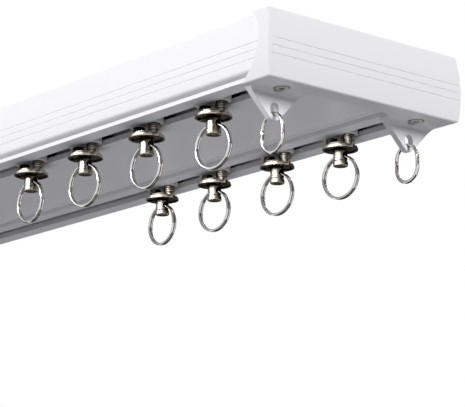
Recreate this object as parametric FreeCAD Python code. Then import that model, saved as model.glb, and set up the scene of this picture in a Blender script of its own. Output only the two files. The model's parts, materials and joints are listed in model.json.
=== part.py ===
import FreeCAD, Part
import math
import os

# A double curtain track: one aluminium extrusion with two slotted channels, a moulded cap
# at each end, and four ball-bearing runners in each channel. Sizes are in millimetres.
# The origin is the centre of the rail's top face, +Z is up and +X runs along the rail.

# Overall
TRACK_LENGTH = 600.0
RAIL_HEIGHT = 25.5
RAIL_HALF_WIDTH = 52.5
SIDE_CURVE_RADIUS = 88.8
WIDEST_RISE = 10.5

# Walls of the extrusion
OUTER_WALL = 1.5
INNER_WALL = 1.5
TOP_WALL = 1.6
WEB_THICKNESS = 1.6
WEB_RISE = 2.0
LIP_THICKNESS = 2.4
TOP_EDGE_ROUND = 0.6

# Slots and lips: insets count from the rail's widest side, reaches from a slot's middle,
# and rises from the rail's underside
SLOT_INSET = 15.0
SLOT_WIDTH = 8.8
INNER_LIP_REACH = 11.0
OUTER_LIP_INSET = 2.85
CHANNEL_REACH = 11.5
SIDE_WALL_RISE = 3.9
COVE_DEPTH = 1.6
OUTER_CORNER_FILL = 2.6
INNER_CORNER_FILL = 2.4
BEAD_RADIUS = 0.8
BEAD_GAP = 0.4
LINE_GROOVE_DEPTH = 0.5
LINE_GROOVE_WIDTH = 1.2

# Three fine grooves that run round the track, counted up from the foot of the side wall
GROOVE_RISES = (9.9, 6.7, 3.4)
GROOVE_WIDTH = 0.6
GROOVE_CUT = 0.3

# Ceiling screw holes
CEILING_HOLE_RADIUS = 2.25
CEILING_HOLE_SPACING = 400.0

# End caps
CAP_SKIN = 1.2
CAP_FLOOR = 2.0
CAP_END_WALL = 4.0
CAP_REACH = 17.7
CAP_FLOOR_STRIP = 10.0
CAP_FLOOR_FILLET = 5.0
CAP_TOP_REACH = 11.5
CAP_WAIST_REACH = 6.4
CAP_LOW_REACH = 12.0
CAP_LOW_RISE = 2.5
CAP_EDGE_ROUND = 0.9
CAP_CORNER_ROUND_TOP = 3.0
CAP_CORNER_ROUND_BOTTOM = 1.0
CAP_GROOVE_INSET = 1.6

# Tabs under the caps
TAB_THICKNESS = 2.7
TAB_ROOT_HALF = 13.9
TAB_DROP = 12.3
TAB_TIP_RADIUS = 3.5
TAB_HOLE_RADIUS = 2.3
TAB_HOLE_RISE = 4.1
TAB_HOLE_STRETCH = 1.0
TAB_COVE_RADIUS = 3.2

# Cap screws and the clamp plates that they pull on
SCREW_RADIUS = 2.0
SCREW_HOLE_CLEARANCE = 0.2
SCREW_HEAD_RADIUS = 3.0
SCREW_HEAD_HEIGHT = 1.4
SCREW_HEAD_CROWN = 0.6
SCREW_INSET = 10.5
SCREW_RECESS_RADIUS = 3.5
SCREW_RECESS_DEPTH = 1.0
SCREW_TIP_PROUD = 1.5
CROSS_LENGTH = 3.4
CROSS_WIDTH = 0.8
CROSS_DEPTH = 0.7
CLAMP_LENGTH = 12.0
CLAMP_WIDTH = 15.0
CLAMP_THICKNESS = 3.0
CLAMP_CORNER = 2.0

# Open oval links on the tabs
LINK_WIRE_RADIUS = 0.75
LINK_WIDTH = 13.6
LINK_HEIGHT = 17.2
LINK_GAP = 0.5

# Runners: how far from the track's near end they rest, and how far each ring is turned
FRONT_RUNNER_SETBACKS = (181.0, 140.0, 96.5, 52.5)
BACK_RUNNER_SETBACKS = (179.5, 141.0, 97.5, 56.5)
FRONT_RING_TURNS = (-1.0, 5.5, 2.7, 7.0)
BACK_RING_TURNS = (-1.0, 4.3, 3.8, 7.5)

# Wheels, as large as the channel's height leaves room for
WHEEL_HEADROOM = 2.25
WHEEL_WIDTH = 5.0
WHEEL_GAP = 10.6
WHEEL_CROWN = 0.7
TYRE_EDGE = 1.1
TYRE_DEPTH = 2.7
HUB_WIDTH = 4.4
HUB_RACE = 1.1
HUB_SHIELD_DEPTH = 0.4
AXLE_HEAD_INSET = 3.0
RIVET_HEAD_RATIO = 1.9
AXLE_HEAD = 0.6
AXLE_SHOULDER = 0.3
RUNNING_FIT = 0.05
ROLLING_GAP = 0.25
FREE_GAP = 0.3

# Carriage
YOKE_THICKNESS = 7.0
YOKE_CROWN_RADIUS = 7.3
YOKE_CROWN_DROP = 2.0
YOKE_OPENING_RADIUS = 2.5
YOKE_BRIDGE = 1.2
POST_SPACING = 10.6
POST_RADIUS = 2.3
POST_HEAD_RADIUS = 2.6
POST_COLLARS = 4
POST_COLLAR_THICKNESS = 0.6
POST_COLLAR_PITCH = 0.9
SLEEVE_RADIUS = 3.95
SLEEVE_RECESS = 0.4
DISC_RADIUS = 7.75
DISC_THICKNESS = 1.6
DISC_BELOW_LIP = 3.2
DISC_RIM = 1.0
DISC_RIM_DEPTH = 0.6
FLANGE_RADIUS = 6.6
FLANGE_THICKNESS = 0.6
FLANGE_GROOVE_RADIUS = 5.4
FLANGE_GROOVE_WIDTH = 0.4

# Swivels
SWIVEL_STEM_RADIUS = 1.6
SWIVEL_HEAD_RADIUS = 2.3
SWIVEL_HEAD_THICKNESS = 1.1
SWIVEL_NECK_RADIUS = 2.3
SWIVEL_NECK_LENGTH = 0.9
SWIVEL_RADIUS = 3.1
SWIVEL_COLLAR_RADIUS = 3.3
SWIVEL_COLLAR_LENGTH = 2.3
SWIVEL_LENGTH = 6.9
SWIVEL_EDGE = 0.3
SWIVEL_HOLE_RADIUS = 1.75
SWIVEL_HOLE_DROP = 2.45

# Split rings
RING_RADIUS = 9.9
RING_WIRE = 1.1
RING_TURN_GAP = 0.04
RING_JOG_ANGLE = 24.0

# Levels and places worked out from the sizes above
WIDEST_DEPTH = RAIL_HEIGHT - WIDEST_RISE
SIDE_WALL_BOTTOM = RAIL_HEIGHT - SIDE_WALL_RISE
GROOVE_DEPTHS = tuple(SIDE_WALL_BOTTOM - rise for rise in GROOVE_RISES)
CAP_LOW_DEPTH = RAIL_HEIGHT - CAP_LOW_RISE
SLOT_OFFSET = RAIL_HALF_WIDTH - SLOT_INSET
INNER_LIP_SIDE = SLOT_OFFSET - INNER_LIP_REACH
OUTER_LIP_SIDE = RAIL_HALF_WIDTH - OUTER_LIP_INSET
CHANNEL_SIDE = SLOT_OFFSET - CHANNEL_REACH
CHANNEL_HEIGHT = RAIL_HEIGHT - TOP_WALL - LIP_THICKNESS
WHEEL_RADIUS = (CHANNEL_HEIGHT - ROLLING_GAP - WHEEL_HEADROOM) / 2
HUB_RADIUS = WHEEL_RADIUS - TYRE_DEPTH
AXLE_HEAD_RADIUS = HUB_RADIUS - AXLE_HEAD_INSET
AXLE_RADIUS = AXLE_HEAD_RADIUS / RIVET_HEAD_RATIO
LIP_BOTTOM = -RAIL_HEIGHT
LIP_TOP = LIP_BOTTOM + LIP_THICKNESS
WEB_BOTTOM = LIP_BOTTOM + WEB_RISE
WEB_TOP = WEB_BOTTOM + WEB_THICKNESS
CAP_TOP = CAP_SKIN
CAP_BOTTOM = LIP_BOTTOM - CAP_FLOOR
CAP_HALF_WIDTH = RAIL_HALF_WIDTH + CAP_SKIN
CAP_CURVE_RADIUS = SIDE_CURVE_RADIUS + CAP_SKIN
TRACK_END = TRACK_LENGTH / 2
RAIL_END = TRACK_END - CAP_END_WALL
SLOT_INNER = SLOT_OFFSET - SLOT_WIDTH / 2
SLOT_OUTER = SLOT_OFFSET + SLOT_WIDTH / 2
AXLE_LEVEL = LIP_TOP + ROLLING_GAP + WHEEL_RADIUS
YOKE_FOOT = AXLE_LEVEL - AXLE_RADIUS - YOKE_BRIDGE - YOKE_OPENING_RADIUS
SLEEVE_BOTTOM = LIP_BOTTOM + SLEEVE_RECESS
DISC_TOP = LIP_BOTTOM - DISC_BELOW_LIP
DISC_BOTTOM = DISC_TOP - DISC_THICKNESS
SWIVEL_TOP = DISC_BOTTOM - RUNNING_FIT
SWIVEL_BODY_TOP = SWIVEL_TOP - SWIVEL_NECK_LENGTH
SWIVEL_BOTTOM = SWIVEL_BODY_TOP - SWIVEL_LENGTH
SWIVEL_HOLE_LEVEL = SWIVEL_BODY_TOP - SWIVEL_HOLE_DROP
TAB_TIP_LEVEL = CAP_BOTTOM - TAB_DROP
TAB_HOLE_LEVEL = TAB_TIP_LEVEL + TAB_HOLE_RISE
TAB_INNER_FACE = TRACK_END - CAP_REACH
TAB_OUTER_FACE = TAB_INNER_FACE + TAB_THICKNESS
SCREW_PLACE = TRACK_END - SCREW_INSET

# Two points closer than this are the same point
SURE_DISTANCE = 1e-4

X_AXIS = FreeCAD.Vector(1, 0, 0)
Y_AXIS = FreeCAD.Vector(0, 1, 0)
Z_AXIS = FreeCAD.Vector(0, 0, 1)
ORIGIN = FreeCAD.Vector(0, 0, 0)


def point(x, y, z):
    return FreeCAD.Vector(x, y, z)


def across(y, z):
    """A point of a section drawn square to the rail."""
    return FreeCAD.Vector(0, y, z)


def along(x, z):
    """A point of an outline drawn on the rail's middle plane."""
    return FreeCAD.Vector(x, 0, z)


def face(start, *moves):
    """A flat face: each move is the end of a line, or a point on an arc and the arc's end."""
    edges = []
    here = start
    for move in moves:
        if isinstance(move, tuple):
            through, end = move
            edges.append(Part.Arc(here, through, end).toShape())
        else:
            end = move
            edges.append(Part.LineSegment(here, end).toShape())
        here = end
    if here.distanceToPoint(start) > SURE_DISTANCE:
        edges.append(Part.LineSegment(here, start).toShape())
    return Part.Face(Part.Wire(edges))


def closed_by_mirror(start, *moves):
    """A face symmetric about the rail's middle: the moves, then their mirror image taken backwards."""
    back = []
    here = start
    for move in moves:
        if isinstance(move, tuple):
            through, end = move
            back.insert(0, (flipped(through), flipped(here)))
        else:
            end = move
            back.insert(0, flipped(here))
        here = end
    return face(start, *moves, *back)


def flipped(place):
    return point(place.x, -place.y, place.z)


def block(low, high):
    size = high - low
    return Part.makeBox(size.x, size.y, size.z, low)


def turned(centre, start, *moves):
    """A solid turned about an upright line through centre, from a half outline drawn with along()."""
    half = face(start, *moves)
    return moved(half.revolve(ORIGIN, Z_AXIS, 360), centre)


def moved(shape, step):
    copy = shape.copy()
    copy.translate(step)
    return copy


def turned_by(shape, angle):
    copy = shape.copy()
    copy.rotate(ORIGIN, Z_AXIS, angle)
    return copy


def mirrored(shape, normal):
    return shape.mirror(ORIGIN, normal)


def both_sides(shape):
    """The shape and its mirror image across the rail's middle plane."""
    return [shape, mirrored(shape, Y_AXIS)]


def side_width(half_width, curve_radius, level):
    """How far the barrel-shaped side stands from the middle at a level."""
    rise = level + WIDEST_DEPTH
    return half_width - curve_radius + math.sqrt(curve_radius ** 2 - rise ** 2)


# Rail


def side_point(level):
    return across(side_width(RAIL_HALF_WIDTH, SIDE_CURVE_RADIUS, level), level)


def side_moves():
    """The rail's outer side from the bottom of its wall to the top, with its fine grooves."""
    moves = [side_point(-SIDE_WALL_BOTTOM)]
    level = -SIDE_WALL_BOTTOM
    for depth in reversed(GROOVE_DEPTHS):
        low = -depth - GROOVE_WIDTH / 2
        high = -depth + GROOVE_WIDTH / 2
        bottom = side_point(-depth) - across(GROOVE_CUT, 0)
        moves += [(side_point((level + low) / 2), side_point(low)), bottom, side_point(high)]
        level = high
    return moves[1:] + [(side_point(level / 2), side_point(0))]


def rail_section():
    """The extrusion's section: from the web's middle round one channel and back, then the other."""
    inner = RAIL_HALF_WIDTH - OUTER_WALL
    inner_radius = SIDE_CURVE_RADIUS - OUTER_WALL
    ceiling = -TOP_WALL
    groove_start = INNER_LIP_SIDE - LINE_GROOVE_WIDTH
    groove_top = WEB_BOTTOM + LINE_GROOVE_DEPTH
    bead_end = groove_start - BEAD_GAP
    bead_middle = bead_end - BEAD_RADIUS
    fill_top = -SIDE_WALL_BOTTOM + OUTER_CORNER_FILL
    fill_side = OUTER_LIP_SIDE - OUTER_WALL
    wall_bottom = side_point(-SIDE_WALL_BOTTOM)
    lip_shoulder = across(OUTER_LIP_SIDE, WEB_BOTTOM)
    cove = (wall_bottom + lip_shoulder) * 0.5 + across(-1, 1) * (COVE_DEPTH / 2)
    return closed_by_mirror(
        across(0, WEB_BOTTOM),
        across(bead_middle - BEAD_RADIUS, WEB_BOTTOM),
        (across(bead_middle, WEB_BOTTOM - BEAD_RADIUS), across(bead_end, WEB_BOTTOM)),
        across(groove_start, WEB_BOTTOM),
        across(groove_start, groove_top),
        across(INNER_LIP_SIDE, groove_top),
        across(INNER_LIP_SIDE, LIP_BOTTOM),
        across(SLOT_INNER, LIP_BOTTOM),
        across(SLOT_INNER, LIP_TOP),
        across(CHANNEL_SIDE + INNER_CORNER_FILL, LIP_TOP),
        across(CHANNEL_SIDE, LIP_TOP + INNER_CORNER_FILL),
        across(CHANNEL_SIDE, ceiling),
        across(side_width(inner, inner_radius, ceiling), ceiling),
        (across(inner, -WIDEST_DEPTH), across(side_width(inner, inner_radius, fill_top), fill_top)),
        across(fill_side, -SIDE_WALL_BOTTOM),
        across(fill_side, LIP_TOP),
        across(SLOT_OUTER, LIP_TOP),
        across(SLOT_OUTER, LIP_BOTTOM),
        across(OUTER_LIP_SIDE, LIP_BOTTOM),
        lip_shoulder,
        (cove, wall_bottom),
        *side_moves(),
        across(CHANNEL_SIDE - INNER_WALL, 0),
        across(CHANNEL_SIDE - INNER_WALL, WEB_TOP),
        across(0, WEB_TOP),
    )


def make_rail():
    solid = moved(rail_section(), X_AXIS * -RAIL_END).extrude(X_AXIS * (2 * RAIL_END))
    corner = side_point(0).y
    edges = [edge for edge in solid.Edges if edge.BoundBox.XLength > RAIL_END
             and (abs(edge.CenterOfMass.y) - corner) ** 2 + edge.CenterOfMass.z ** 2 < SURE_DISTANCE]
    solid = solid.makeFillet(TOP_EDGE_ROUND, edges)
    holes = []
    for place in (-CEILING_HOLE_SPACING / 2, CEILING_HOLE_SPACING / 2):
        start = point(place, SLOT_OFFSET, -TOP_WALL)
        holes += both_sides(Part.makeCylinder(CEILING_HOLE_RADIUS, TOP_WALL, start, Z_AXIS))
    return solid.cut(holes)


# End caps


def cap_block():
    """The cap's outer form: a barrel-sided end that meets the side curves at mitred corners."""
    top = side_width(CAP_HALF_WIDTH, CAP_CURVE_RADIUS, CAP_TOP)
    bottom = side_width(CAP_HALF_WIDTH, CAP_CURVE_RADIUS, CAP_BOTTOM)
    section = face(
        across(-top, CAP_TOP),
        across(top, CAP_TOP),
        (across(CAP_HALF_WIDTH, -WIDEST_DEPTH), across(bottom, CAP_BOTTOM)),
        across(-bottom, CAP_BOTTOM),
        (across(-CAP_HALF_WIDTH, -WIDEST_DEPTH), across(-top, CAP_TOP)),
    )
    sleeve = moved(section, X_AXIS * TAB_INNER_FACE).extrude(X_AXIS * CAP_REACH)
    profile = face(
        along(TAB_INNER_FACE, CAP_TOP),
        along(side_width(TRACK_END, CAP_CURVE_RADIUS, CAP_TOP), CAP_TOP),
        (along(TRACK_END, -WIDEST_DEPTH),
         along(side_width(TRACK_END, CAP_CURVE_RADIUS, CAP_BOTTOM), CAP_BOTTOM)),
        along(TAB_INNER_FACE, CAP_BOTTOM),
    )
    end = moved(profile, Y_AXIS * -CAP_HALF_WIDTH).extrude(Y_AXIS * (2 * CAP_HALF_WIDTH))
    return rounded_cap(sleeve.common(end))


def rounded_cap(solid):
    """Corners rounded more at the top than at the bottom, then the long edges eased."""
    corners = [
        edge for edge in solid.Edges
        if edge.BoundBox.ZLength > RAIL_HEIGHT and edge.BoundBox.XMin > TRACK_END - CAP_END_WALL
    ]
    for corner in corners:
        first, last = corner.firstVertex().Point, corner.lastVertex().Point
        start, end = CAP_CORNER_ROUND_BOTTOM, CAP_CORNER_ROUND_TOP
        if first.z > last.z:
            start, end = end, start
        match = [e for e in solid.Edges if e.BoundBox.ZLength > RAIL_HEIGHT
                 and (e.CenterOfMass - corner.CenterOfMass).Length < CAP_SKIN]
        solid = solid.makeFillet(start, end, match)
    inner = TAB_INNER_FACE + CAP_SKIN
    rims = [
        edge for edge in solid.Edges
        if edge.BoundBox.ZLength < CAP_SKIN / 2 and edge.BoundBox.XMax > inner
    ]
    return solid.makeFillet(CAP_EDGE_ROUND, rims)


def cap_pocket():
    """The space that the rail's end fills."""
    top = side_width(RAIL_HALF_WIDTH, SIDE_CURVE_RADIUS, 0)
    bottom = side_width(RAIL_HALF_WIDTH, SIDE_CURVE_RADIUS, LIP_BOTTOM)
    section = face(
        across(-top, 0),
        across(top, 0),
        (across(RAIL_HALF_WIDTH, -WIDEST_DEPTH), across(bottom, LIP_BOTTOM)),
        across(-bottom, LIP_BOTTOM),
        (across(-RAIL_HALF_WIDTH, -WIDEST_DEPTH), across(-top, 0)),
    )
    return moved(section, X_AXIS * TAB_INNER_FACE).extrude(X_AXIS * (CAP_REACH - CAP_END_WALL))


def cap_border():
    """What is trimmed off the sleeve, so that its edge sweeps back towards the tabs."""
    curve = Part.BSplineCurve()
    curve.interpolate([
        along(TRACK_END - CAP_TOP_REACH, CAP_TOP),
        along(TRACK_END - CAP_WAIST_REACH, -GROOVE_DEPTHS[0]),
        along(TRACK_END - CAP_LOW_REACH, -CAP_LOW_DEPTH),
        along(TAB_INNER_FACE, CAP_BOTTOM),
    ])
    top_corner = along(TAB_INNER_FACE, CAP_TOP)
    edges = [
        curve.toShape(),
        Part.LineSegment(along(TAB_INNER_FACE, CAP_BOTTOM), top_corner).toShape(),
        Part.LineSegment(top_corner, along(TRACK_END - CAP_TOP_REACH, CAP_TOP)).toShape(),
    ]
    prism = Part.Face(Part.Wire(edges))
    prism = moved(prism, Y_AXIS * -CAP_HALF_WIDTH).extrude(Y_AXIS * (2 * CAP_HALF_WIDTH))
    floor_half = SLOT_OFFSET + TAB_ROOT_HALF
    floor = block(
        point(TAB_INNER_FACE, -floor_half, CAP_BOTTOM),
        point(TRACK_END, floor_half, LIP_BOTTOM),
    )
    return prism.cut(floor)


def cap_floor_notch():
    """The floor is a narrow strip between the tabs."""
    half = SLOT_OFFSET - TAB_ROOT_HALF
    notch = block(
        point(TAB_INNER_FACE, -half, CAP_BOTTOM),
        point(TRACK_END - CAP_FLOOR_STRIP, half, LIP_BOTTOM),
    )
    corners = [
        edge for edge in notch.Edges
        if edge.BoundBox.ZLength > CAP_FLOOR / 2 and edge.BoundBox.XMin > TAB_INNER_FACE
    ]
    return notch.makeFillet(CAP_FLOOR_FILLET, corners)


def tab_outline():
    """A triangle with a round tip, hanging from the cap's floor."""
    tip = across(SLOT_OFFSET, TAB_TIP_LEVEL + TAB_TIP_RADIUS)
    reach = math.hypot(TAB_ROOT_HALF, CAP_BOTTOM - tip.z)
    lean = math.atan2(CAP_BOTTOM - tip.z, TAB_ROOT_HALF) + math.asin(TAB_TIP_RADIUS / reach)
    touch = across(math.sin(lean), -math.cos(lean)) * TAB_TIP_RADIUS
    left_touch = tip + across(-touch.y, touch.z)
    right_touch = tip + touch
    left_root = across(SLOT_OFFSET - TAB_ROOT_HALF, CAP_BOTTOM)
    right_root = across(SLOT_OFFSET + TAB_ROOT_HALF, CAP_BOTTOM)
    return face(
        across(left_root.y, CAP_BOTTOM + CAP_FLOOR / 2),
        left_root,
        left_touch,
        (across(SLOT_OFFSET, TAB_TIP_LEVEL), right_touch),
        right_root,
        across(right_root.y, CAP_BOTTOM + CAP_FLOOR / 2),
    )


def make_tab():
    """One tab: a plate, and the cove that blends its outer face into the floor."""
    outline = tab_outline()
    plate = moved(outline, X_AXIS * TAB_INNER_FACE).extrude(X_AXIS * TAB_THICKNESS)
    deep = CAP_BOTTOM - TAB_COVE_RADIUS
    far = TAB_OUTER_FACE + TAB_COVE_RADIUS
    bend = TAB_COVE_RADIUS * (1 - math.sqrt(0.5))
    cove = face(
        along(TAB_OUTER_FACE, CAP_BOTTOM + CAP_FLOOR / 2),
        along(far, CAP_BOTTOM + CAP_FLOOR / 2),
        along(far, CAP_BOTTOM),
        (along(TAB_OUTER_FACE + bend, CAP_BOTTOM - bend), along(TAB_OUTER_FACE, deep)),
    )
    cove = moved(cove, Y_AXIS * (SLOT_OFFSET - TAB_ROOT_HALF)).extrude(Y_AXIS * (2 * TAB_ROOT_HALF))
    trim = moved(outline, X_AXIS * TAB_OUTER_FACE).extrude(X_AXIS * TAB_COVE_RADIUS)
    return plate.fuse(cove.common(trim)).cut(tab_hole())


def tab_hole():
    """The link's hole, a little taller than it is wide, so that the link can be worked in."""
    left = SLOT_OFFSET - TAB_HOLE_RADIUS
    right = SLOT_OFFSET + TAB_HOLE_RADIUS
    low = TAB_HOLE_LEVEL
    high = TAB_HOLE_LEVEL + TAB_HOLE_STRETCH
    outline = face(
        across(left, low),
        across(left, high),
        (across(SLOT_OFFSET, high + TAB_HOLE_RADIUS), across(right, high)),
        across(right, low),
        (across(SLOT_OFFSET, low - TAB_HOLE_RADIUS), across(left, low)),
    )
    return moved(outline, X_AXIS * TAB_INNER_FACE).extrude(X_AXIS * (TAB_THICKNESS + TAB_COVE_RADIUS))


def cap_screw_cut():
    """The screw's clearance hole and the round recess that its head sits in."""
    start = point(SCREW_PLACE, SLOT_OFFSET, CAP_BOTTOM)
    hole = Part.makeCylinder(SCREW_RADIUS + SCREW_HOLE_CLEARANCE, CAP_FLOOR, start, Z_AXIS)
    low = start - Z_AXIS * TAB_COVE_RADIUS
    recess = Part.makeCylinder(SCREW_RECESS_RADIUS, TAB_COVE_RADIUS + SCREW_RECESS_DEPTH, low, Z_AXIS)
    return hole.fuse(recess)


def cap_end_grooves():
    cuts = []
    for depth in GROOVE_DEPTHS:
        surface = side_width(TRACK_END, CAP_CURVE_RADIUS, -depth)
        section = face(
            along(surface + GROOVE_CUT, -depth + GROOVE_WIDTH),
            along(surface - GROOVE_CUT, -depth),
            along(surface + GROOVE_CUT, -depth - GROOVE_WIDTH),
        )
        half = CAP_HALF_WIDTH - CAP_GROOVE_INSET
        cuts.append(moved(section, Y_AXIS * -half).extrude(Y_AXIS * (2 * half)))
    return cuts


def make_cap():
    solid = cap_block().cut([cap_pocket(), cap_border(), cap_floor_notch()])
    solid = solid.fuse(both_sides(make_tab())).removeSplitter()
    return solid.cut(both_sides(cap_screw_cut()) + cap_end_grooves())


# Cap screws, clamp plates and links


def make_cap_screw():
    """A pan-head screw with a cross recess, its head seated in the cap's floor."""
    seat = CAP_BOTTOM + SCREW_RECESS_DEPTH
    low = seat - SCREW_HEAD_HEIGHT
    tip = LIP_TOP + CLAMP_THICKNESS + SCREW_TIP_PROUD
    crown = SCREW_HEAD_CROWN * (1 - math.sqrt(0.5))
    solid = turned(
        point(SCREW_PLACE, SLOT_OFFSET, 0),
        along(0, low),
        along(SCREW_HEAD_RADIUS - SCREW_HEAD_CROWN, low),
        (along(SCREW_HEAD_RADIUS - crown, low + crown), along(SCREW_HEAD_RADIUS, low + SCREW_HEAD_CROWN)),
        along(SCREW_HEAD_RADIUS, seat),
        along(SCREW_RADIUS, seat),
        along(SCREW_RADIUS, tip),
        along(0, tip),
    )
    middle = point(SCREW_PLACE, SLOT_OFFSET, low + CROSS_DEPTH / 2)
    arms = []
    for long_x, long_y in ((CROSS_LENGTH, CROSS_WIDTH), (CROSS_WIDTH, CROSS_LENGTH)):
        half = point(long_x, long_y, CROSS_DEPTH) * 0.5
        arms.append(block(middle - half, middle + half))
    return solid.cut(arms)


def make_clamp_plate():
    """A threaded plate on top of the lips, which the cap screw pulls down."""
    half_length = CLAMP_LENGTH / 2
    half_width = CLAMP_WIDTH / 2
    plate = block(
        point(SCREW_PLACE - half_length, SLOT_OFFSET - half_width, LIP_TOP),
        point(SCREW_PLACE + half_length, SLOT_OFFSET + half_width, LIP_TOP + CLAMP_THICKNESS),
    )
    corners = [edge for edge in plate.Edges if edge.BoundBox.ZLength > CLAMP_THICKNESS / 2]
    plate = plate.makeFillet(CLAMP_CORNER, corners)
    start = point(SCREW_PLACE, SLOT_OFFSET, LIP_TOP)
    return plate.cut(Part.makeCylinder(SCREW_RADIUS, CLAMP_THICKNESS, start, Z_AXIS))


def make_link():
    """An oval of round wire, open at the middle of its inner side, hung through the tab's hole."""
    bend = LINK_WIDTH / 2 - LINK_WIRE_RADIUS
    straight = LINK_HEIGHT / 2 - LINK_WIDTH / 2
    plate_rise = bend - math.sqrt(bend ** 2 - (TAB_THICKNESS / 2) ** 2)
    wire_top = TAB_HOLE_LEVEL - TAB_HOLE_RADIUS + FREE_GAP + LINK_WIRE_RADIUS + plate_rise
    middle = point(TAB_INNER_FACE + TAB_THICKNESS / 2, SLOT_OFFSET, wire_top - bend - straight)
    gap = LINK_GAP / 2
    corner = [along(-bend, straight), along(bend, straight), along(bend, -straight), along(-bend, -straight)]
    edges = [
        Part.LineSegment(along(-bend, gap), corner[0]).toShape(),
        Part.Arc(corner[0], along(0, straight + bend), corner[1]).toShape(),
        Part.LineSegment(corner[1], corner[2]).toShape(),
        Part.Arc(corner[2], along(0, -straight - bend), corner[3]).toShape(),
        Part.LineSegment(corner[3], along(-bend, -gap)).toShape(),
    ]
    section = Part.Wire(Part.Circle(along(-bend, gap), Z_AXIS, LINK_WIRE_RADIUS).toShape())
    return moved(Part.Wire(edges).makePipeShell([section], True, False), middle)


# Runners, each drawn at the middle of the rail's origin and then set in its channel


def make_carriage():
    """A cast yoke on two posts, riveted to a round disc, with the wheels' axle through its crown."""
    half = YOKE_THICKNESS / 2
    crown = AXLE_LEVEL - YOKE_CROWN_DROP
    rim = DISC_BOTTOM - DISC_RIM_DEPTH
    yoke = face(
        along(-YOKE_CROWN_RADIUS, YOKE_FOOT),
        along(-YOKE_CROWN_RADIUS, crown),
        (along(0, crown + YOKE_CROWN_RADIUS), along(YOKE_CROWN_RADIUS, crown)),
        along(YOKE_CROWN_RADIUS, YOKE_FOOT),
        along(YOKE_OPENING_RADIUS, YOKE_FOOT),
        (along(0, YOKE_FOOT + YOKE_OPENING_RADIUS), along(-YOKE_OPENING_RADIUS, YOKE_FOOT)),
    )
    yoke = moved(yoke, Y_AXIS * -half).extrude(Y_AXIS * YOKE_THICKNESS)
    pieces = [make_axle(), make_disc()]
    for place in (-POST_SPACING / 2, POST_SPACING / 2):
        post = Part.makeCylinder(POST_RADIUS, YOKE_FOOT - DISC_TOP, point(place, 0, DISC_TOP), Z_AXIS)
        head = Part.makeCylinder(POST_HEAD_RADIUS, DISC_TOP - rim, point(place, 0, rim), Z_AXIS)
        pieces += [post, head]
        for number in range(POST_COLLARS):
            start = point(place, 0, DISC_TOP + number * POST_COLLAR_PITCH)
            pieces.append(Part.makeCylinder(POST_HEAD_RADIUS, POST_COLLAR_THICKNESS, start, Z_AXIS))
    return yoke.fuse(pieces).removeSplitter()


def make_axle():
    """The pin through both wheels, with a shoulder inside each wheel and a riveted head outside."""
    shoulder = WHEEL_GAP / 2 - AXLE_SHOULDER
    outside = WHEEL_GAP / 2 + HUB_WIDTH + AXLE_SHOULDER
    pin = Part.makeCylinder(AXLE_RADIUS, 2 * outside, point(0, -outside, AXLE_LEVEL), Y_AXIS)
    boss = Part.makeCylinder(AXLE_HEAD_RADIUS, 2 * shoulder, point(0, -shoulder, AXLE_LEVEL), Y_AXIS)
    head = Part.makeCylinder(AXLE_HEAD_RADIUS, AXLE_HEAD, point(0, outside, AXLE_LEVEL), Y_AXIS)
    return pin.fuse([boss] + both_sides(head))


def make_disc():
    """The round disc under the rail, dished inside its rim, with a groove and a flange above it."""
    bore = SWIVEL_STEM_RADIUS + RUNNING_FIT
    inside = DISC_RADIUS - DISC_RIM
    groove_top = DISC_TOP - FLANGE_THICKNESS
    groove_bottom = groove_top - FLANGE_GROOVE_WIDTH
    return turned(
        ORIGIN,
        along(bore, DISC_TOP),
        along(FLANGE_RADIUS, DISC_TOP),
        along(FLANGE_RADIUS, groove_top),
        along(FLANGE_GROOVE_RADIUS, groove_top),
        along(FLANGE_GROOVE_RADIUS, groove_bottom),
        along(DISC_RADIUS, groove_bottom),
        along(DISC_RADIUS, DISC_BOTTOM - DISC_RIM_DEPTH),
        along(inside, DISC_BOTTOM - DISC_RIM_DEPTH),
        along(inside, DISC_BOTTOM),
        along(bore, DISC_BOTTOM),
    )


def make_sleeves():
    """The nylon sleeves on the posts, which guide the runner in the slot."""
    bore = POST_RADIUS + RUNNING_FIT
    sleeves = []
    for place in (-POST_SPACING / 2, POST_SPACING / 2):
        start = point(place, 0, SLEEVE_BOTTOM)
        tube = Part.makeCylinder(SLEEVE_RADIUS, YOKE_FOOT - SLEEVE_BOTTOM, start, Z_AXIS)
        sleeves.append(tube.cut(Part.makeCylinder(bore, YOKE_FOOT - SLEEVE_BOTTOM, start, Z_AXIS)))
    return sleeves


def make_tyre():
    """A moulded tyre with a gently crowned tread, centred on the axle's middle."""
    half = WHEEL_WIDTH / 2
    tread = half - TYRE_EDGE
    shoulder = WHEEL_RADIUS - WHEEL_CROWN
    outline = face(
        across(-half, HUB_RADIUS),
        across(-half, shoulder - TYRE_EDGE / 2),
        across(-tread, WHEEL_RADIUS - WHEEL_CROWN / 2),
        (across(0, WHEEL_RADIUS), across(tread, WHEEL_RADIUS - WHEEL_CROWN / 2)),
        across(half, shoulder - TYRE_EDGE / 2),
        across(half, HUB_RADIUS),
    )
    return outline.revolve(ORIGIN, Y_AXIS, 360)


def make_hub():
    """The steel bearing that the tyre is moulded on, its shields sunk between the two races."""
    bore = AXLE_RADIUS + RUNNING_FIT
    half = HUB_WIDTH / 2
    shield = half - HUB_SHIELD_DEPTH
    inner_race = AXLE_HEAD_RADIUS + HUB_RACE / 2
    outer_race = HUB_RADIUS - HUB_RACE
    outline = face(
        across(-half, bore),
        across(-half, inner_race),
        across(-shield, inner_race),
        across(-shield, outer_race),
        across(-half, outer_race),
        across(-half, HUB_RADIUS),
        across(half, HUB_RADIUS),
        across(half, outer_race),
        across(shield, outer_race),
        across(shield, inner_race),
        across(half, inner_race),
        across(half, bore),
    )
    return outline.revolve(ORIGIN, Y_AXIS, 360)


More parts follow.
